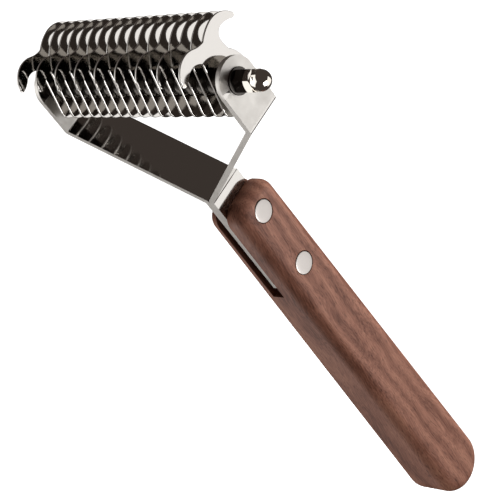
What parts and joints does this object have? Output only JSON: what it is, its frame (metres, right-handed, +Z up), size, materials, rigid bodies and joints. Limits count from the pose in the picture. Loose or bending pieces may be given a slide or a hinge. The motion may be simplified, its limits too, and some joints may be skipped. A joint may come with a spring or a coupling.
{
  "type": "deshedding tool",
  "caption": "Double-sided deshedding rake: a pack of thin hooked steel blades on a rod between the ears of a bent strip frame, riveted into a rounded walnut handle.",
  "frame": {"origin": "bottom centre of the whole tool's bounding box, with the tool lying on its side", "axes": "+X along the blade rod, +Y from the handle's end towards the hooks, +Z up, across the steel strip"},
  "size_m": [0.0826, 0.1884, 0.0247],
  "materials": {
    "blade_steel": "mirror-polished stainless steel",
    "spacer_steel": "turned steel",
    "frame_steel": "mirror-polished stainless strip",
    "rod_steel": "plain steel",
    "nut_steel": "nickel plated",
    "cap_steel": "bright nickel plated",
    "rivet_steel": "satin, sanded flush with the wood",
    "walnut": "matt oiled walnut"
  },
  "bodies": {
    "frame": {"arm_left": "frame_steel", "arm_right": "frame_steel", "handle": "walnut", "rod": "rod_steel", "rivet_1_tube": "rivet_steel", "rivet_1_pin": "rivet_steel", "rivet_2_tube": "rivet_steel", "rivet_2_pin": "rivet_steel", "washer": "nut_steel", "lock_nut": "nut_steel"},
    "blade_pack": {"blade_01": "blade_steel", "blade_02": "blade_steel", "blade_03": "blade_steel", "blade_04": "blade_steel", "blade_05": "blade_steel", "blade_06": "blade_steel", "blade_07": "blade_steel", "blade_08": "blade_steel", "blade_09": "blade_steel", "blade_10": "blade_steel", "blade_11": "blade_steel", "blade_12": "blade_steel", "blade_13": "blade_steel", "blade_14": "blade_steel", "blade_15": "blade_steel", "blade_16": "blade_steel", "blade_17": "blade_steel", "spacer_01": "spacer_steel", "spacer_02": "spacer_steel", "spacer_03": "spacer_steel", "spacer_04": "spacer_steel", "spacer_05": "spacer_steel", "spacer_06": "spacer_steel", "spacer_07": "spacer_steel", "spacer_08": "spacer_steel", "spacer_09": "spacer_steel", "spacer_10": "spacer_steel", "spacer_11": "spacer_steel", "spacer_12": "spacer_steel", "spacer_13": "spacer_steel", "spacer_14": "spacer_steel", "spacer_15": "spacer_steel", "spacer_16": "spacer_steel", "end_spacer_left": "spacer_steel", "end_spacer_right": "spacer_steel"},
    "cap": {"cap_nut": "cap_steel"}
  },
  "joints": [
    {"name": "pack_turn", "type": "hinge", "parent": "frame", "child": "blade_pack", "pos_m": [-0.0039, 0.08026, 0.01343], "axis": [1, 0, 0], "range_deg": [-80, 80]},
    {"name": "cap_turn", "type": "hinge", "parent": "frame", "child": "cap", "pos_m": [0.0371, 0.08026, 0.01343], "axis": [1, 0, 0], "continuous": true}
  ]
}
